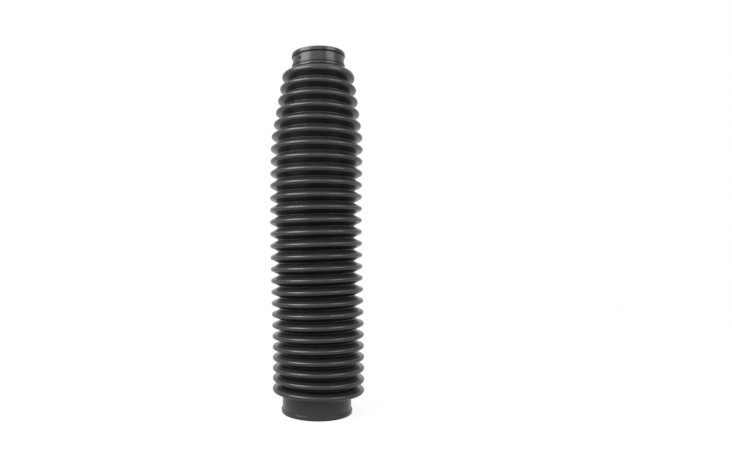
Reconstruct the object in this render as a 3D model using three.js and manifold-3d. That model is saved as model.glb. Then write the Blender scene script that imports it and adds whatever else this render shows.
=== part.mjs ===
// Fork gaiter: a moulded rubber bellows that keeps dirt off the sliding tube of a motorbike fork.
// It is one piece. A lower collar clamps on the fork leg and an upper collar, with a lip and three
// vent holes, clamps on the tube. Between them are the folds, and the first of them widen as a cone.
// Millimetres, +Z up. The origin is the centre of the lower collar's flat end, which it stands on.

import * as THREE from 'three';
import { mergeVertices } from 'three/addons/utils/BufferGeometryUtils.js';
import Module from 'manifold-3d';

const wasm = await Module();
wasm.setup();

// Lower collar
const lowerBore = 57;
const lowerCollarDiameter = 63;
const lowerCollarHeight = 16;
const lowerBeadDiameter = 64.9;
const lowerBeadHeight = 3.4;
const lowerBeadRunOut = 0.3;
const footFillet = 1;

// Upper collar, in the order of its features from the top edge down. A groove with a flat roof and a
// sloping floor sets off the lip, and two more lie under the two equal stop rings
const upperBore = 41;
const upperCollarDiameter = 47;
const lipDiameter = 49;
const lipHeight = 3.6;
const lipRound = 1.3;
const lipGrooveDepth = 0.4;
const lipGrooveHeight = 0.9;
const clampSeatHeight = 5.8;
const stopDiameter = 48.8;
const stopRunIn = 0.6;
const stopHeight = 1.6;
const stopGrooveDepth = 0.6;
const stopGrooveHeight = 1;
const neckGrooveHeight = 0.7;

// Vent holes through the upper collar, the first one measured from the front (-Y) towards +X
const ventCount = 3;
const ventDiameter = 2;
const ventDrop = 8.3;
const firstVentAzimuth = -46;

// Folds, counted from the top: the crests of the cone grow to the last cone crest
const foldCount = 28;
const coneFoldCount = 6;
const firstCrestDiameter = 66.4;
const lastConeCrestDiameter = 83.3;
const upperBodyCrestDiameter = 84.4;
const lowerBodyCrestDiameter = 83.9;
const crestRadius = 2.2;
const shoulderRadius = 4.5;
const shoulderDrop = 6.9;
const lastFoldRise = 4.8;

// The folds stand free, so their own weight closes the lower ones, and deepens them, more than the
// upper ones. The easing is the power of the share of the way down by which both of these change
const conePitch = 10.87;
const upperBodyPitch = 11.08;
const lowerBodyPitch = 9.65;
const firstFoldDepth = 6.6;
const lastFoldDepth = 9.4;
const foldEasing = 1.3;

// Wall, measured along the radius
const crestWall = 1.9;
const rootWall = 2.8;
const edgeBreak = 0.4;

// The bellows isn't quite straight as it stands. Its axis sways along X in a slow wave, furthest to
// the left at one height. Its folds tip in another wave, right side up by most at another height, and
// nod in a third one, front up by most at a third height. The last folds are squashed on the left, so
// they tip by an angle of their own, which fades over its reach above its height
const swayMean = 0.24;
const swaySwing = 1.2;
const swayHeight = 183;
const swayLength = 302;
const tipMeanDegrees = 0.12;
const tipSwingDegrees = 1.93;
const tipHeight = 118;
const tipLength = 360;
const nodMeanDegrees = 0.55;
const nodSwingDegrees = 0.75;
const nodHeight = 72;
const nodLength = 232;
const footTipDegrees = -0.8;
const footTipHeight = 24;
const footTipReach = 20;

// Facets
const turnSegments = 28;
const ventSegments = 10;
const filletSteps = 2;

const point = (radius, height) => new THREE.Vector2(radius, height);
const polar = (centre, radius, angle) =>
  point(centre.x + radius * Math.cos(angle), centre.y + radius * Math.sin(angle));

/** Heights of the crests above the last one, from the first crest down. */
function crestHeights() {
  const bodyGaps = foldCount - coneFoldCount;
  const heights = [0];
  for (let i = 1; i < foldCount; i += 1) {
    const along = Math.max(0, i - coneFoldCount) / (bodyGaps - 1);
    const bodyPitch = upperBodyPitch + (lowerBodyPitch - upperBodyPitch) * along ** foldEasing;
    heights.push(heights[i - 1] - (i < coneFoldCount ? conePitch : bodyPitch));
  }
  const lowest = heights[foldCount - 1];
  return heights.map((height) => height - lowest);
}

/** Radius of one crest, counted from 0 at the top: a cone, then the nearly straight body. */
function crestRadiusAt(index) {
  if (index < coneFoldCount) {
    return THREE.MathUtils.lerp(firstCrestDiameter, lastConeCrestDiameter, index / (coneFoldCount - 1)) / 2;
  }
  const along = (index - coneFoldCount) / (foldCount - coneFoldCount - 1);
  return THREE.MathUtils.lerp(upperBodyCrestDiameter, lowerBodyCrestDiameter, along) / 2;
}

/** Angle on a circle at which a line from an outside point touches it; side is 1 or -1. */
function touchAngle(centre, radius, from, side) {
  const offset = from.clone().sub(centre);
  return offset.angle() - side * Math.acos(Math.min(1, radius / offset.length()));
}

/** Rounds the corner at b between a and c, no further than both straight edges allow. */
function fillet(a, b, c, radius) {
  const toA = a.clone().sub(b);
  const toC = c.clone().sub(b);
  const half = Math.acos(toA.clone().normalize().dot(toC.clone().normalize())) / 2;
  const reach = Math.min(radius / Math.tan(half), toA.length() / 2, toC.length() / 2);
  const bisector = toA.clone().normalize().add(toC.clone().normalize()).normalize();
  const centre = b.clone().addScaledVector(bisector, reach / Math.cos(half));
  const start = b.clone().addScaledVector(toA.normalize(), reach).sub(centre);
  const end = b.clone().addScaledVector(toC.normalize(), reach).sub(centre);
  const sweep = Math.atan2(start.cross(end), start.dot(end));
  return Array.from({ length: filletSteps + 1 }, (_, i) =>
    polar(centre, start.length(), start.angle() + (sweep * i) / filletSteps));
}

const lastCrestHeight = lowerCollarHeight + lastFoldRise;
const crests = crestHeights().map((height, index) => point(crestRadiusAt(index), lastCrestHeight + height));
const roots = crests.slice(1).map((crest, index) => {
  const depth = THREE.MathUtils.lerp(firstFoldDepth, lastFoldDepth, (index / (foldCount - 2)) ** foldEasing);
  return crest.clone().add(crests[index]).multiplyScalar(0.5).sub(point(depth, 0));
});

const neckFoot = point(stopDiameter / 2, crests[0].y + shoulderDrop);
const stopsHeight = stopRunIn + stopHeight + stopGrooveHeight + stopHeight + neckGrooveHeight;
const upperCollarHeight = lipHeight + lipGrooveHeight + clampSeatHeight + stopsHeight;
const overallHeight = neckFoot.y + upperCollarHeight;
const lastFoot = point(lowerCollarDiameter / 2, lowerCollarHeight);

/** Outside of the upper collar, from the top face down to the neck's groove. */
function upperCollarOutside() {
  const cut = lipRound * (1 - Math.SQRT1_2);
  const steps = [
    [0, lipDiameter / 2 - lipRound],
    [cut, lipDiameter / 2 - cut],
    [lipRound - cut, lipDiameter / 2],
    [lipHeight - lipRound, lipDiameter / 2],
    [0, upperCollarDiameter / 2 - lipGrooveDepth],
    [lipGrooveHeight, upperCollarDiameter / 2],
    [clampSeatHeight, upperCollarDiameter / 2],
    [stopRunIn, stopDiameter / 2],
    [stopHeight, stopDiameter / 2],
    [0, stopDiameter / 2 - stopGrooveDepth],
    [stopGrooveHeight, stopDiameter / 2],
    [stopHeight, stopDiameter / 2],
    [0, stopDiameter / 2 - stopGrooveDepth],
  ];
  let height = overallHeight;
  return steps.map(([drop, radius]) => {
    height -= drop;
    return point(radius, height);
  });
}

/** Rounded crests joined by straight flanks that meet in sharp roots, from the first fold down. */
function foldsOutside() {
  const outline = [neckFoot];
  crests.forEach((crest, index) => {
    const above = index > 0 ? roots[index - 1] : neckFoot;
    const below = index < foldCount - 1 ? roots[index] : lastFoot;
    const upperRound = index > 0 ? crestRadius : shoulderRadius;
    const upperCentre = point(crest.x - upperRound, crest.y);
    const lowerCentre = point(crest.x - crestRadius, crest.y);
    const upperTouch = touchAngle(upperCentre, upperRound, above, 1);
    const lowerTouch = touchAngle(lowerCentre, crestRadius, below, -1);
    outline.push(polar(upperCentre, upperRound, upperTouch));
    if (upperRound > crestRadius) outline.push(polar(upperCentre, upperRound, upperTouch / 2));
    outline.push(crest, polar(lowerCentre, crestRadius, lowerTouch));
    if (below !== lastFoot) outline.push(below);
  });
  return outline;
}

/** Outside of the lower collar, from the foot of the last fold down to the flat end. */
function lowerCollarOutside(flankEnd) {
  const radius = lowerCollarDiameter / 2;
  const beadTop = point(radius, lowerBeadHeight + lowerBeadRunOut);
  return [
    ...fillet(flankEnd, lastFoot, beadTop, footFillet),
    beadTop,
    point(lowerBeadDiameter / 2, lowerBeadHeight),
    point(lowerBeadDiameter / 2, edgeBreak),
    point(lowerBeadDiameter / 2 - edgeBreak, 0),
  ];
}

/** Inside of the wall, from the lower bore up to the top face. */
function inside() {
  const innerRoots = roots.map((root) => point(root.x - rootWall, root.y)).reverse();
  const innerCrests = crests.map((crest) => point(crest.x - crestWall, crest.y)).reverse();
  const folds = innerCrests.flatMap((crest, index) =>
    (index < innerRoots.length ? [crest, innerRoots[index]] : [crest]));
  return [
    point(lowerBore / 2 + edgeBreak, 0),
    point(lowerBore / 2, edgeBreak),
    point(lowerBore / 2, lowerCollarHeight),
    ...folds,
    point(upperBore / 2, neckFoot.y),
    point(upperBore / 2, overallHeight - edgeBreak),
    point(upperBore / 2 + edgeBreak, overallHeight),
  ];
}

/** Joins a closed geometry's shared corners and turns it into a solid for cutting. */
function toSolid(geometry) {
  const bare = geometry.toNonIndexed();
  bare.deleteAttribute('normal');
  bare.deleteAttribute('uv');
  const merged = mergeVertices(bare);
  return new wasm.Manifold(new wasm.Mesh({
    numProp: 3,
    vertProperties: merged.attributes.position.array,
    triVerts: new Uint32Array(merged.index.array),
  }));
}

/** Turns a solid back into a geometry. */
function toGeometry(solid) {
  const mesh = solid.getMesh();
  const geometry = new THREE.BufferGeometry();
  geometry.setAttribute('position', new THREE.BufferAttribute(new Float32Array(mesh.vertProperties), 3));
  geometry.setIndex(new THREE.BufferAttribute(new Uint32Array(mesh.triVerts), 1));
  return geometry;
}

/** The wall turned about Z: the lathe runs up the outside and down the inside. */
function turnedWall() {
  const folds = foldsOutside();
  const loop = [
    ...upperCollarOutside(),
    ...folds,
    ...lowerCollarOutside(folds[folds.length - 1]),
    ...inside(),
  ].reverse();
  loop.push(loop[0].clone());
  return toSolid(new THREE.LatheGeometry(loop, turnSegments).rotateX(Math.PI / 2));
}

/** One radial pin through the upper collar's wall, which leaves a vent hole. */
function ventPin(index) {
  const length = (lipDiameter - upperBore) / 2 + ventDiameter;
  const middle = (upperCollarDiameter + upperBore) / 4;
  const azimuth = THREE.MathUtils.degToRad(firstVentAzimuth + (index * 360) / ventCount);
  const pin = new THREE.CylinderGeometry(ventDiameter / 2, ventDiameter / 2, length, ventSegments);
  pin.translate(0, -middle, 0).rotateZ(azimuth).translate(0, 0, overallHeight - ventDrop);
  return toSolid(pin);
}

/** Height of a wave of the given length at some distance from its top. */
const wave = (distance, length) => Math.cos((2 * Math.PI * distance) / length);

/** Tangent of an angle in degrees. */
const slope = (degrees) => Math.tan(THREE.MathUtils.degToRad(degrees));

/** Moves each corner to where the free-standing bellows holds it; the collars stay level. */
function settle(geometry) {
  const position = geometry.attributes.position;
  for (let i = 0; i < position.count; i += 1) {
    const height = Math.min(position.getZ(i), neckFoot.y);
    const offLower = THREE.MathUtils.clamp((height - lowerCollarHeight) / lastFoldRise, 0, 1);
    const offCollars = offLower * THREE.MathUtils.clamp((neckFoot.y - height) / shoulderDrop, 0, 1);
    const sway = swayMean - swaySwing * wave(height - swayHeight, swayLength);
    const tip = tipMeanDegrees + tipSwingDegrees * wave(height - tipHeight, tipLength);
    const nod = nodMeanDegrees + nodSwingDegrees * wave(height - nodHeight, nodLength);
    const aboveFoot = 1 - (height - footTipHeight) / footTipReach;
    const footTip = footTipDegrees * THREE.MathUtils.clamp(Math.min(height / footTipHeight, aboveFoot), 0, 1);
    const lift = position.getX(i) * slope(tip * offCollars + footTip) - position.getY(i) * slope(nod * offCollars);
    position.setZ(i, position.getZ(i) + lift);
    position.setX(i, position.getX(i) + sway * offLower);
  }
  geometry.computeVertexNormals();
  return geometry;
}

let wall = turnedWall();
for (let index = 0; index < ventCount; index += 1) wall = wall.subtract(ventPin(index));

const rubber = new THREE.MeshStandardMaterial({ color: 0x1d1d1e, roughness: 0.5, metalness: 0 });
const gaiter = new THREE.Mesh(settle(toGeometry(wall)), rubber);
gaiter.name = 'gaiter';

const part = new THREE.Group();
part.add(gaiter);

export default part;
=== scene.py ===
"""Fork gaiter: one moulded rubber bellows standing on its wide collar, in plain studio light.

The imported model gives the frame. The gaiter's section is worked out here again from the same sizes,
with its small roundings, and is turned into one closed surface that stands for the CAD node.
"""

import logging
import math
from dataclasses import dataclass, field
from enum import Enum

import bpy
import numpy as np
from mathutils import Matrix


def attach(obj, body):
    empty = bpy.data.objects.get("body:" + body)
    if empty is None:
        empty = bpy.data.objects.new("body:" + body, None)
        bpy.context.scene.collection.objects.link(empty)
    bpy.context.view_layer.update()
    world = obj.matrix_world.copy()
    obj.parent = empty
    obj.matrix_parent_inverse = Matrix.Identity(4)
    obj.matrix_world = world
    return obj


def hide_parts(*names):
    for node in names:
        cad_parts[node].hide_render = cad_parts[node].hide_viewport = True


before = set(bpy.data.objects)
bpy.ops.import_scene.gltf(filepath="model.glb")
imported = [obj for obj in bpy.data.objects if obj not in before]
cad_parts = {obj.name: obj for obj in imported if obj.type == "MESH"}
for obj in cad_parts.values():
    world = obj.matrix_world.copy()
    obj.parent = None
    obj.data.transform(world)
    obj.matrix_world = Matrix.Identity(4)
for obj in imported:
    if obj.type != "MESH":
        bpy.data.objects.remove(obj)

Array = np.ndarray
MM = 0.001
SMALL = 1e-9
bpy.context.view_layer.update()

logging.basicConfig(level=logging.INFO, format="%(message)s")
log = logging.getLogger("gaiter")


def polar(centre: Array, radius: Array | float, angle: Array) -> Array:
    """Points at an angle on circles: the centre plus the radius times (cosine, sine)."""
    direction = np.stack([np.cos(angle), np.sin(angle)], axis=-1)
    return centre + np.asarray(radius)[..., None] * direction


def cross(a: Array, b: Array) -> Array:
    """Flat cross product, x1 y2 - y1 x2, which is positive where b lies to the left of a."""
    return a[..., 0] * b[..., 1] - a[..., 1] * b[..., 0]


def round_corners(corners: Array, radii: Array, steps: int) -> Array:
    """Rounds every inner corner of an open outline by an arc.

    The arc touches both edges at radius / tan(half the corner's angle) from the corner, and its
    centre lies on the bisector. Where two arcs want more than the edge between them, both get
    smaller by the same share.

    Args:
        corners: Corners of the outline, (n, 2), of which the two ends stay sharp.
        radii: Radius at each of the n - 2 inner corners.
        steps: Number of straight steps in each arc.

    Returns:
        The outline's points, (2 + (n - 2) * (steps + 1), 2).
    """
    middle = corners[1:-1]
    back, on = corners[:-2] - middle, corners[2:] - middle
    back_length, on_length = np.linalg.norm(back, axis=1), np.linalg.norm(on, axis=1)
    back, on = back / back_length[:, None], on / on_length[:, None]
    half = np.arccos(np.clip((back * on).sum(axis=1), -1, 1)) / 2
    reach = radii / np.tan(half)
    padded = np.concatenate([[0], reach, [0]])
    edges = np.concatenate([back_length, on_length[-1:]])
    share = np.minimum(1, edges / np.maximum(padded[:-1] + padded[1:], SMALL))
    reach = reach * np.minimum(share[:-1], share[1:])
    bisector = back + on
    bisector /= np.linalg.norm(bisector, axis=1)[:, None]
    centre = middle + bisector * (reach / np.cos(half))[:, None]
    start = middle + back * reach[:, None] - centre
    end = middle + on * reach[:, None] - centre
    sweep = np.arctan2(cross(start, end), (start * end).sum(axis=1))
    first = np.arctan2(start[:, 1], start[:, 0])
    angles = first[:, None] + sweep[:, None] * np.linspace(0, 1, steps + 1)
    radius = np.linalg.norm(start, axis=1)[:, None] * np.ones(steps + 1)
    arcs = polar(centre[:, None, :], radius, angles)
    return np.concatenate([corners[:1], arcs.reshape(-1, 2), corners[-1:]])


class LampSide(Enum):
    """Side of the gaiter, seen from the camera, on which a lamp stands."""

    LEFT = -1
    RIGHT = 1


@dataclass(frozen=True)
class RubberFinish:
    """Satin black moulded rubber: a fine even grain, with a slightly uneven bloom. Millimetres."""

    dark: tuple[float, float, float] = (0.015, 0.015, 0.0155)
    pale: tuple[float, float, float] = (0.021, 0.021, 0.0215)
    specular_level: float = 0.38
    smooth_roughness: float = 0.22
    dull_roughness: float = 0.3
    patch_size: float = 14
    patch_detail: float = 4
    patch_low: float = 0.3
    patch_high: float = 0.7
    grain_size: float = 0.35
    grain_detail: float = 2
    grain_height: float = 0.0025

    def material(self, name: str) -> bpy.types.Material:
        """Builds the node material.

        The colour and the roughness follow one slow noise, and the bump follows a fine one. Both
        are read from object coordinates, so they stay fixed on the surface.

        Args:
            name: Name of the new material.

        Returns:
            The material.
        """
        material = bpy.data.materials.new(name)
        material.use_nodes = True
        nodes, links = material.node_tree.nodes, material.node_tree.links
        shader = nodes["Principled BSDF"]
        shader.inputs["Specular IOR Level"].default_value = self.specular_level
        place = nodes.new("ShaderNodeTexCoord")

        patches = nodes.new("ShaderNodeTexNoise")
        patches.inputs["Scale"].default_value = 1 / (self.patch_size * MM)
        patches.inputs["Detail"].default_value = self.patch_detail
        links.new(place.outputs["Object"], patches.inputs["Vector"])

        tint = nodes.new("ShaderNodeMix")
        tint.data_type = "RGBA"
        tint.inputs["A"].default_value = (*self.dark, 1)
        tint.inputs["B"].default_value = (*self.pale, 1)
        links.new(patches.outputs["Fac"], tint.inputs["Factor"])
        links.new(tint.outputs["Result"], shader.inputs["Base Color"])

        dullness = nodes.new("ShaderNodeMapRange")
        dullness.inputs["From Min"].default_value = self.patch_low
        dullness.inputs["From Max"].default_value = self.patch_high
        dullness.inputs["To Min"].default_value = self.smooth_roughness
        dullness.inputs["To Max"].default_value = self.dull_roughness
        links.new(patches.outputs["Fac"], dullness.inputs["Value"])
        links.new(dullness.outputs["Result"], shader.inputs["Roughness"])

        grain = nodes.new("ShaderNodeTexNoise")
        grain.inputs["Scale"].default_value = 1 / (self.grain_size * MM)
        grain.inputs["Detail"].default_value = self.grain_detail
        links.new(place.outputs["Object"], grain.inputs["Vector"])
        bump = nodes.new("ShaderNodeBump")
        bump.inputs["Distance"].default_value = self.grain_height * MM
        links.new(grain.outputs["Fac"], bump.inputs["Height"])
        links.new(bump.outputs["Normal"], shader.inputs["Normal"])
        return material


@dataclass
class LowerCollar:
    """The wide collar that clamps on the fork leg, with a bead round its end. Millimetres."""

    bore: float = 57
    diameter: float = 63
    height: float = 16
    bead_diameter: float = 64.9
    bead_height: float = 3.4
    bead_run_out: float = 0.3
    foot_fillet: float = 1
    edge_round: float = 0.4
    bead_round: float = 0.4

    def foot(self) -> Array:
        """Corner between the last fold and the collar."""
        return np.array([self.diameter / 2, self.height])

    def end_middle(self) -> Array:
        """Middle of the flat end, where the outside meets the inside."""
        return np.array([(self.bead_diameter + self.bore) / 4, 0])

    def outside(self) -> tuple[Array, Array]:
        """Corners and radii of the outside, from the last fold's foot down to the flat end."""
        bead_top = self.bead_height + self.bead_run_out
        corners = np.array([
            [self.diameter / 2, self.height],
            [self.diameter / 2, bead_top],
            [self.bead_diameter / 2, self.bead_height],
            [self.bead_diameter / 2, 0],
        ])
        radii = np.array([self.foot_fillet, self.bead_round, self.bead_round, self.edge_round])
        return corners, radii

    def inside(self) -> tuple[Array, Array]:
        """Corners and radii of the bore, from the flat end up."""
        corners = np.array([[self.bore / 2, 0], [self.bore / 2, self.height]])
        return corners, np.array([self.edge_round, self.foot_fillet])


@dataclass
class UpperCollar:
    """The narrow collar that clamps on the tube: lip, seat, stop rings and vents. Millimetres."""

    bore: float = 41
    diameter: float = 47
    lip_diameter: float = 49
    lip_height: float = 3.6
    lip_round: float = 1.3
    lip_groove_depth: float = 0.4
    lip_groove_height: float = 0.9
    seat_height: float = 5.8
    stop_diameter: float = 48.8
    stop_run_in: float = 0.6
    stop_height: float = 1.6
    groove_depth: float = 0.6
    stop_groove_height: float = 1
    neck_groove_height: float = 0.7
    edge_round: float = 0.2
    vent_count: int = 3
    vent_diameter: float = 2
    vent_drop: float = 8.3
    first_vent_degrees: float = -46
    vent_segments: int = 20

    def height(self) -> float:
        """Height of the collar above the neck's foot: the sum of its features."""
        return (self.lip_height + self.lip_groove_height + self.seat_height + self.stop_run_in
                + 2 * self.stop_height + self.stop_groove_height + self.neck_groove_height)

    def end_middle(self, top: float) -> Array:
        """Middle of the flat end, where the outside meets the inside."""
        return np.array([(self.lip_diameter + self.bore) / 4, top])

    def outside(self, top: float) -> tuple[Array, Array]:
        """Corners and radii of the outside, from the flat end down to the neck's groove.

        Each corner lies a stated drop below the one before it, so the heights are the top less the
        running sum of the drops.

        Args:
            top: Height of the flat end.

        Returns:
            Corners, (n, 2), and radii, (n,).
        """
        seat, stop = self.diameter / 2, self.stop_diameter / 2
        steps = np.array([
            [0, self.lip_diameter / 2, self.lip_round],
            [self.lip_height, self.lip_diameter / 2, self.edge_round],
            [0, seat - self.lip_groove_depth, self.edge_round],
            [self.lip_groove_height, seat, self.edge_round],
            [self.seat_height, seat, self.edge_round],
            [self.stop_run_in, stop, self.edge_round],
            [self.stop_height, stop, self.edge_round],
            [0, stop - self.groove_depth, self.edge_round],
            [self.stop_groove_height, stop, self.edge_round],
            [self.stop_height, stop, self.edge_round],
            [0, stop - self.groove_depth, self.edge_round],
        ])
        return np.column_stack([steps[:, 1], top - np.cumsum(steps[:, 0])]), steps[:, 2]

    def inside(self, top: float) -> tuple[Array, Array]:
        """Corners and radii of the bore, from the neck's foot up to the flat end."""
        corners = np.array([[self.bore / 2, top - self.height()], [self.bore / 2, top]])
        return corners, np.array([self.edge_round, self.edge_round])

    def vent_pins(self, top: float) -> Array:
        """Closed pins that stand where the vent holes go, each a prism along a radius.

        A rim point is the hole's radius times (cosine, sine) across the pin, and its ends lie
        inside the bore and outside the wall. The pins are copies turned about the gaiter's axis.

        Args:
            top: Height of the collar's flat end.

        Returns:
            Rim points, (vent_count, 2, vent_segments, 3): each pin's inner end, then its outer end.
        """
        count, sides = self.vent_count, self.vent_segments
        round_pin = np.linspace(0, 2 * np.pi, sides, endpoint=False)
        across = np.cos(round_pin) * self.vent_diameter / 2
        up = np.sin(round_pin) * self.vent_diameter / 2 + top - self.vent_drop
        inner_end = self.bore / 2 - self.vent_diameter
        outer_end = self.lip_diameter / 2 + self.vent_diameter
        reach = np.array([inner_end, outer_end])
        azimuth = np.radians(self.first_vent_degrees + 360 / count * np.arange(count))
        outward = np.stack([np.sin(azimuth), -np.cos(azimuth)], axis=-1)
        sideways = np.stack([np.cos(azimuth), np.sin(azimuth)], axis=-1)
        flat = (outward[:, None, None, :] * reach[None, :, None, None]
                + sideways[:, None, None, :] * across[None, None, :, None])
        height = np.broadcast_to(up, flat.shape[:-1])[..., None]
        return np.concatenate([flat, height], axis=-1)


@dataclass
class Folds:
    """The bellows between the collars, counted from the top. Millimetres."""

    count: int = 28
    cone_count: int = 6
    first_crest_diameter: float = 66.4
    last_cone_crest_diameter: float = 83.3
    upper_crest_diameter: float = 84.4
    lower_crest_diameter: float = 83.9
    first_depth: float = 6.6
    last_depth: float = 9.4
    crest_round: float = 2.2
    shoulder_round: float = 4.5
    root_round: float = 0.5
    shoulder_drop: float = 6.9
    last_rise: float = 4.8
    cone_pitch: float = 10.87
    upper_pitch: float = 11.08
    lower_pitch: float = 9.65
    easing: float = 1.3
    crest_wall: float = 1.9
    root_wall: float = 2.8
    inner_round: float = 0.8

    def crests(self, foot_height: float) -> Array:
        """Outermost points of the folds, (count, 2), from the first fold down.

        The gap between crests is the cone's pitch, then runs from the upper to the lower pitch as
        a power of the share of the way down. The radii grow evenly over the cone, then run evenly
        from the upper to the lower diameter of the body.

        Args:
            foot_height: Height of the lower collar, on which the last fold stands.

        Returns:
            Radius and height of each crest.
        """
        gap = np.arange(1, self.count)
        along = np.clip(gap - self.cone_count, 0, None) / (self.count - self.cone_count - 1)
        pitch = self.upper_pitch + (self.lower_pitch - self.upper_pitch) * along ** self.easing
        pitch = np.where(gap < self.cone_count, self.cone_pitch, pitch)
        drop = np.concatenate([[0], np.cumsum(pitch)])
        index = np.arange(self.count)
        cone = np.interp(index, [0, self.cone_count - 1],
                         [self.first_crest_diameter, self.last_cone_crest_diameter])
        body = np.interp(index, [self.cone_count, self.count - 1],
                         [self.upper_crest_diameter, self.lower_crest_diameter])
        diameter = np.where(index < self.cone_count, cone, body)
        return np.column_stack([diameter / 2, foot_height + self.last_rise + drop[-1] - drop])

    def roots(self, crests: Array) -> Array:
        """Innermost points, halfway between crests; the depth grows by a power of the share."""
        share = np.linspace(0, 1, len(crests) - 1) ** self.easing
        depth = self.first_depth + (self.last_depth - self.first_depth) * share
        return (crests[1:] + crests[:-1]) / 2 - np.column_stack([depth, np.zeros(len(depth))])

    def outside(self, neck_foot: Array, collar_foot: Array) -> tuple[Array, Array]:
        """Corners and radii of the folds, from the first crest to the last one.

        Each crest has two corners that its arcs round off, one above and one below its outermost
        point. A corner lies straight above or below that point, by the arc's radius times the
        tangent of half the angle at which the line from the next root or foot touches the arc.

        Args:
            neck_foot: Corner above the first fold.
            collar_foot: Corner below the last fold.

        Returns:
            Corners, (3 count - 1, 2), and radii, (3 count - 1,).
        """
        crests = self.crests(collar_foot[1])
        roots = self.roots(crests)
        upper_round = np.full(self.count, self.crest_round)
        upper_round[0] = self.shoulder_round
        lower_round = np.full(self.count, self.crest_round)
        upper = self.corner(crests, np.vstack([neck_foot, roots]), upper_round, 1)
        lower = self.corner(crests, np.vstack([roots, collar_foot]), lower_round, -1)
        corners = np.empty((3 * self.count - 1, 2))
        corners[0::3], corners[1::3], corners[2::3] = upper, lower, roots
        radii = np.empty(len(corners))
        radii[0::3], radii[1::3], radii[2::3] = upper_round, lower_round, self.root_round
        return corners, radii

    def corner(self, crests: Array, outer: Array, radius: Array, side: int) -> Array:
        """Corners above (side 1) or below (side -1) the crests, seen from outer points."""
        offset = outer - crests + np.column_stack([radius, np.zeros(len(radius))])
        reach = np.linalg.norm(offset, axis=1)
        touch = np.arctan2(offset[:, 1], offset[:, 0]) - side * np.arccos(radius / reach)
        return crests + np.column_stack([np.zeros(len(radius)), radius * np.tan(touch / 2)])

    def inside(self, foot_height: float) -> tuple[Array, Array]:
        """Corners and radii of the inner wall, from the last fold up, at each crest and root."""
        crests = self.crests(foot_height)
        corners = np.empty((2 * self.count - 1, 2))
        corners[0::2] = crests - np.array([self.crest_wall, 0])
        corners[1::2] = self.roots(crests) - np.array([self.root_wall, 0])
        return corners[::-1], np.full(len(corners), self.inner_round)


@dataclass
class FreeStance:
    """How the loose bellows stands: its axis sways and its folds tip in slow waves. Millimetres."""

    sway_mean: float = 0.24
    sway_swing: float = 1.2
    sway_height: float = 183
    sway_length: float = 302
    tip_mean_degrees: float = 0.12
    tip_swing_degrees: float = 1.93
    tip_height: float = 118
    tip_length: float = 360
    nod_mean_degrees: float = 0.55
    nod_swing_degrees: float = 0.75
    nod_height: float = 72
    nod_length: float = 232
    foot_tip_degrees: float = -0.8
    foot_tip_height: float = 24
    foot_tip_reach: float = 20

    @staticmethod
    def wave(height: Array, mean: float, swing: float, peak: float, length: float) -> Array:
        """A mean plus a swing times the cosine of the height from the peak over the wave length."""
        return mean + swing * np.cos(2 * np.pi * (height - peak) / length)

    def settle(self, points: Array, collar_height: float, last_rise: float,
               neck_height: float, shoulder_drop: float) -> Array:
        """Moves points to where the free-standing bellows holds them; the collars stay level.

        The sway along X, the tip to one side and the nod to the front are slow waves of the
        height. They fade out at the lower collar, and the tip and the nod at the upper one too. A
        tip lifts a point by its X times the tangent, and a nod by its distance to the front times
        the tangent. The last folds tip further, by an angle that grows from the ground to its own
        height and fades over its reach above that.

        Args:
            points: Points of the straight gaiter, (n, 3).
            collar_height: Height of the lower collar.
            last_rise: Height from the lower collar to the last crest.
            neck_height: Height of the upper collar's foot.
            shoulder_drop: Height from the first crest to the upper collar's foot.

        Returns:
            The moved points, (n, 3).
        """
        height = np.minimum(points[:, 2], neck_height)
        off_lower = np.clip((height - collar_height) / last_rise, 0, 1)
        off_collars = off_lower * np.clip((neck_height - height) / shoulder_drop, 0, 1)
        sway = self.wave(height, self.sway_mean, -self.sway_swing,
                         self.sway_height, self.sway_length)
        tip = self.wave(height, self.tip_mean_degrees, self.tip_swing_degrees,
                        self.tip_height, self.tip_length)
        nod = self.wave(height, self.nod_mean_degrees, self.nod_swing_degrees,
                        self.nod_height, self.nod_length)
        below = height / self.foot_tip_height
        above = 1 - (height - self.foot_tip_height) / self.foot_tip_reach
        foot_tip = self.foot_tip_degrees * np.clip(np.minimum(below, above), 0, 1)
        moved = points.copy()
        moved[:, 2] += points[:, 0] * np.tan(np.radians(tip * off_collars + foot_tip))
        moved[:, 2] -= points[:, 1] * np.tan(np.radians(nod)) * off_collars
        moved[:, 0] += sway * off_lower
        return moved


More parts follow.
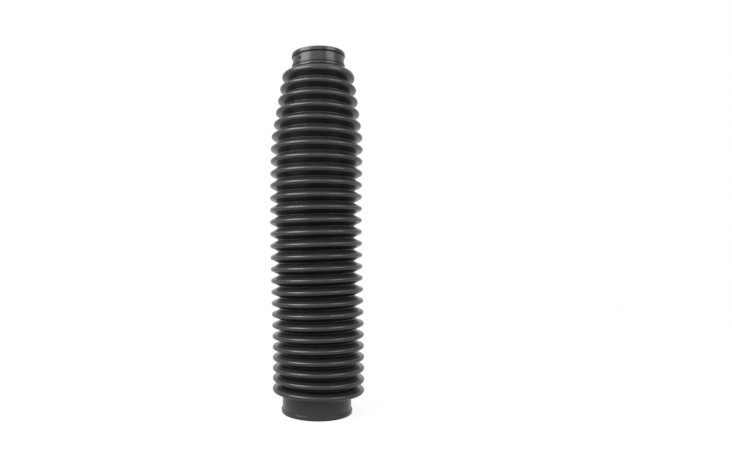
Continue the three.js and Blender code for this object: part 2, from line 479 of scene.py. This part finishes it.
@dataclass
class Gaiter:
    """The whole moulding: one closed section turned about the axis, pierced and set standing."""

    finish: RubberFinish = field(default_factory=RubberFinish)
    lower: LowerCollar = field(default_factory=LowerCollar)
    upper: UpperCollar = field(default_factory=UpperCollar)
    folds: Folds = field(default_factory=Folds)
    stance: FreeStance = field(default_factory=FreeStance)
    turn_segments: int = 112
    outer_steps: int = 4
    inner_steps: int = 3
    crease_degrees: float = 50

    def neck_foot(self) -> Array:
        """Corner between the first fold and the upper collar."""
        first_crest = self.folds.crests(self.lower.height)[0]
        return np.array([self.upper.stop_diameter / 2, first_crest[1] + self.folds.shoulder_drop])

    def section(self) -> Array:
        """Closed outline of the wall, (n, 2): down the outside, and up the inside.

        Returns:
            Radius and height of each point, in millimetres.
        """
        neck = self.neck_foot()
        top = neck[1] + self.upper.height()
        top_middle, bottom_middle = self.upper.end_middle(top), self.lower.end_middle()

        collar, collar_radii = self.upper.outside(top)
        folds, fold_radii = self.folds.outside(neck, self.lower.foot())
        foot, foot_radii = self.lower.outside()
        outside = round_corners(
            np.vstack([top_middle, collar, neck, folds, foot, bottom_middle]),
            np.concatenate([collar_radii, [self.upper.edge_round], fold_radii, foot_radii]),
            self.outer_steps)

        bore, bore_radii = self.lower.inside()
        inner, inner_radii = self.folds.inside(self.lower.height)
        neck_bore, neck_radii = self.upper.inside(top)
        inside = round_corners(
            np.vstack([bottom_middle, bore, inner, neck_bore, top_middle]),
            np.concatenate([bore_radii, inner_radii, neck_radii]),
            self.inner_steps)
        return np.vstack([outside[:-1], inside[:-1]])

    def turned_wall(self) -> bpy.types.Object:
        """The section turned about Z: a point's place is (radius cos, radius sin, height)."""
        section = self.section()
        rings, sides = len(section), self.turn_segments
        azimuth = np.linspace(0, 2 * np.pi, sides, endpoint=False)
        radius, height = section[:, 0, None], section[:, 1, None]
        points = np.stack([radius * np.cos(azimuth), radius * np.sin(azimuth),
                           np.broadcast_to(height, (rings, sides))], axis=-1)
        ring, side = np.meshgrid(np.arange(rings), np.arange(sides), indexing="ij")
        next_ring, next_side = (ring + 1) % rings, (side + 1) % sides
        quads = np.stack([ring * sides + side, next_ring * sides + side,
                          next_ring * sides + next_side, ring * sides + next_side], axis=-1)
        return new_object("moulded_gaiter", points.reshape(-1, 3), quads.reshape(-1, 4).tolist())

    def pierce(self, wall: bpy.types.Object) -> None:
        """Cuts the vent holes through the upper collar with closed pins."""
        pins = self.upper.vent_pins(self.neck_foot()[1] + self.upper.height())
        count, _, sides, _ = pins.shape
        first = (np.arange(count) * 2 * sides)[:, None]
        side = np.arange(sides)
        near, far = first + side, first + sides + side
        quads = np.stack([near, np.roll(near, -1, axis=1), np.roll(far, -1, axis=1), far], axis=-1)
        faces = quads.reshape(-1, 4).tolist() + near[:, ::-1].tolist() + far.tolist()
        cutter = new_object("vent_pins", pins.reshape(-1, 3), faces)
        cut = wall.modifiers.new("vents", "BOOLEAN")
        cut.operation, cut.solver, cut.object = "DIFFERENCE", "EXACT", cutter
        apply_modifiers(wall)
        bpy.data.objects.remove(cutter)

    def build(self) -> bpy.types.Object:
        """Builds, pierces, settles and dresses the gaiter.

        Returns:
            The finished piece, in metres.
        """
        wall = self.turned_wall()
        self.pierce(wall)
        mesh = wall.data
        points = np.empty((len(mesh.vertices), 3), dtype=np.float32)
        mesh.vertices.foreach_get("co", points.ravel())
        settled = self.stance.settle(
            points.astype(float), self.lower.height, self.folds.last_rise,
            self.neck_foot()[1], self.folds.shoulder_drop)
        mesh.vertices.foreach_set("co", (settled * MM).astype(np.float32).ravel())
        mesh.update()
        mesh.shade_smooth()
        mesh.set_sharp_from_angle(angle=math.radians(self.crease_degrees))
        weighted = wall.modifiers.new("even_normals", "WEIGHTED_NORMAL")
        weighted.keep_sharp = True
        apply_modifiers(wall)
        wall.data.materials.append(self.finish.material("satin_rubber"))
        return wall


@dataclass
class Camera:
    """The photograph's point of view, level and at the height of the middle folds. Millimetres."""

    across: float = -19.65
    distance: float = 519.8
    height: float = 152.9
    sensor_width: float = 36
    image_width: int = 732
    image_height: int = 474
    focal_pixels: float = 565
    aim_x: float = 295.5
    aim_y: float = 244.5

    def build(self) -> bpy.types.Object:
        """Places the camera; its shift brings the point it looks at to its pixel."""
        data = bpy.data.cameras.new("camera")
        data.sensor_width = self.sensor_width
        data.lens = self.focal_pixels / self.image_width * self.sensor_width
        data.shift_x = (self.image_width / 2 - self.aim_x) / self.image_width
        data.shift_y = (self.aim_y - self.image_height / 2) / self.image_width
        camera = bpy.data.objects.new("camera", data)
        camera.location = (self.across * MM, -self.distance * MM, self.height * MM)
        camera.rotation_euler = (math.pi / 2, 0, 0)
        bpy.context.scene.collection.objects.link(camera)
        bpy.context.scene.camera = camera
        return camera


@dataclass
class SoftLamp:
    """A soft rectangular lamp that faces the middle of the gaiter. Metres and degrees.

    The azimuth is counted from the front towards the lamp's side.
    """

    name: str
    side: LampSide
    azimuth: float
    elevation: float
    width: float
    height: float
    radiance: float
    distance: float = 1.3

    def build(self, target: Array) -> bpy.types.Object:
        """Adds the lamp. Its power is its radiance times pi times the area of its face.

        Args:
            target: The point that it faces.

        Returns:
            The lamp.
        """
        azimuth = math.radians(self.azimuth * self.side.value)
        elevation = math.radians(self.elevation)
        away = np.array([math.sin(azimuth) * math.cos(elevation),
                         -math.cos(azimuth) * math.cos(elevation), math.sin(elevation)])
        data = bpy.data.lights.new(self.name, "AREA")
        data.shape = "RECTANGLE"
        data.size, data.size_y = self.width, self.height
        data.energy = self.radiance * math.pi * self.width * self.height
        lamp = bpy.data.objects.new(self.name, data)
        lamp.location = target + away * self.distance
        lamp.rotation_euler = (math.pi / 2 - elevation, 0, azimuth)
        bpy.context.scene.collection.objects.link(lamp)
        return lamp


@dataclass
class Studio:
    """A white floor in a white surround, with soft lamps on each side, in front and overhead."""

    floor_size: float = 1.8
    floor_colour: float = 0.12
    floor_lift: float = 0.88
    surround_light: float = 0.56
    target: tuple[float, float, float] = (0, 0, 0.16)
    lamps: tuple[SoftLamp, ...] = (
        SoftLamp("left_panel", LampSide.LEFT, azimuth=62, elevation=40,
                 width=0.95, height=1, radiance=9),
        SoftLamp("right_panel", LampSide.RIGHT, azimuth=52, elevation=34,
                 width=0.8, height=0.6, radiance=5.5),
        SoftLamp("front_panel", LampSide.LEFT, azimuth=8, elevation=36,
                 width=1.1, height=0.35, radiance=3.5),
        SoftLamp("top_panel", LampSide.LEFT, azimuth=180, elevation=75,
                 width=0.8, height=0.8, radiance=1),
    )

    def world(self) -> None:
        """White to the camera and in reflections, and a plain fill for soft light."""
        world = bpy.data.worlds.new("surround")
        world.use_nodes = True
        nodes, links = world.node_tree.nodes, world.node_tree.links
        back = nodes["Background"]
        back.inputs["Color"].default_value = (1, 1, 1, 1)
        seen = self.seen(nodes, links)
        level = nodes.new("ShaderNodeMapRange")
        level.inputs["To Min"].default_value = self.surround_light
        level.inputs["To Max"].default_value = 1
        links.new(seen, level.inputs["Value"])
        links.new(level.outputs["Result"], back.inputs["Strength"])
        bpy.context.scene.world = world

    @staticmethod
    def seen(nodes: bpy.types.Nodes, links: bpy.types.NodeLinks) -> bpy.types.NodeSocket:
        """One where a ray comes from the camera, a reflection or a clear surface, else zero."""
        ray = nodes.new("ShaderNodeLightPath")
        first = nodes.new("ShaderNodeMath")
        first.operation = "MAXIMUM"
        links.new(ray.outputs["Is Camera Ray"], first.inputs[0])
        links.new(ray.outputs["Is Glossy Ray"], first.inputs[1])
        second = nodes.new("ShaderNodeMath")
        second.operation = "MAXIMUM"
        links.new(first.outputs[0], second.inputs[0])
        links.new(ray.outputs["Is Transmission Ray"], second.inputs[1])
        return second.outputs[0]

    def floor(self) -> bpy.types.Object:
        """A flat floor at height zero: white, with the object's own soft shadow on it."""
        half = self.floor_size / 2
        corners = np.array([[-half, -half, 0], [half, -half, 0], [half, half, 0], [-half, half, 0]])
        floor = new_object("floor", corners, [[0, 1, 2, 3]])
        material = bpy.data.materials.new("white_floor")
        material.use_nodes = True
        nodes, links = material.node_tree.nodes, material.node_tree.links
        shader = nodes["Principled BSDF"]
        shader.inputs["Base Color"].default_value = (self.floor_colour,) * 3 + (1,)
        shader.inputs["Roughness"].default_value = 1
        shader.inputs["Specular IOR Level"].default_value = 0
        shader.inputs["Emission Color"].default_value = (1, 1, 1, 1)
        lift = nodes.new("ShaderNodeMath")
        lift.operation = "MULTIPLY"
        lift.inputs[1].default_value = self.floor_lift
        links.new(self.seen(nodes, links), lift.inputs[0])
        links.new(lift.outputs[0], shader.inputs["Emission Strength"])
        floor.data.materials.append(material)
        return floor

    def build(self) -> None:
        """Sets the surround, the floor and the lamps."""
        self.world()
        self.floor()
        for lamp in self.lamps:
            lamp.build(np.array(self.target))
            log.info("lamp %s: radiance %.1f", lamp.name, lamp.radiance)


def new_object(name: str, points: Array, faces: list[list[int]]) -> bpy.types.Object:
    """Adds a mesh object at the origin.

    Args:
        name: Name of the object and its mesh.
        points: Vertices, (n, 3).
        faces: Vertex numbers of each face, in outward order.

    Returns:
        The object.
    """
    mesh = bpy.data.meshes.new(name)
    mesh.from_pydata(points.astype(float).tolist(), [], faces)
    mesh.update()
    made = bpy.data.objects.new(name, mesh)
    bpy.context.scene.collection.objects.link(made)
    return made


def apply_modifiers(piece: bpy.types.Object) -> None:
    """Replaces a piece's mesh by the result of its modifiers."""
    bpy.context.view_layer.update()
    shaped = piece.evaluated_get(bpy.context.evaluated_depsgraph_get())
    mesh = bpy.data.meshes.new_from_object(shaped)
    mesh.name = piece.name
    piece.modifiers.clear()
    piece.data = mesh


def main() -> None:
    """Builds the camera, the gaiter and the studio."""
    bpy.context.scene.view_settings.view_transform = "Standard"
    Camera().build()
    gaiter = Gaiter().build()
    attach(gaiter, "root")
    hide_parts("gaiter")
    log.info("gaiter: %d vertices, %d faces", len(gaiter.data.vertices), len(gaiter.data.polygons))
    Studio().build()


if __name__ == "__main__":
    main()
